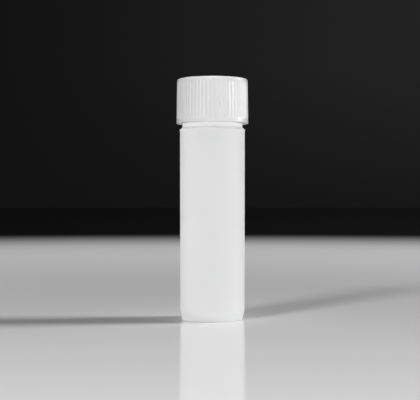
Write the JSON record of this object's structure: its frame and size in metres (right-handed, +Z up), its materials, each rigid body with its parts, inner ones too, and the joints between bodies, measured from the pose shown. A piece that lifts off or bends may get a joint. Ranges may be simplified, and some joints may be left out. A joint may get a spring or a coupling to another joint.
{
  "type": "cryovial",
  "caption": "Self-standing round sample vial with a flat foot, small bevelled shoulder, threaded neck and ribbed screw cap with a sealing washer.",
  "frame": {"origin": "middle of the flat ring that the vial stands on, at the bottom of the closed vial's box", "axes": "+Z up the vial's axis, from the foot to the cap; X and Y are across it, and -Y is the side that the picture was taken from"},
  "size_m": [0.018, 0.018, 0.06],
  "materials": {
    "vial_plastic": "satin",
    "cap_plastic": "satin",
    "washer_silicone": "matte"
  },
  "bodies": {
    "vial": {"vial_body": "vial_plastic"},
    "seal": {"sealing_washer": "washer_silicone"},
    "cap": {"screw_cap": "cap_plastic"}
  },
  "joints": [
    {"name": "cap_lift", "type": "slide", "parent": "vial", "child": "seal", "axis": [0, 0, 1], "range_m": [0, 0.012]},
    {"name": "cap_turn", "type": "hinge", "parent": "seal", "child": "cap", "pos_m": [0, 0, 0.0578], "axis": [0, 0, 1], "range_deg": [0, 1440]}
  ],
  "couplings": [
    {"joint": "cap_turn", "follows": "cap_lift", "rad_per_m": 2094.4}
  ]
}
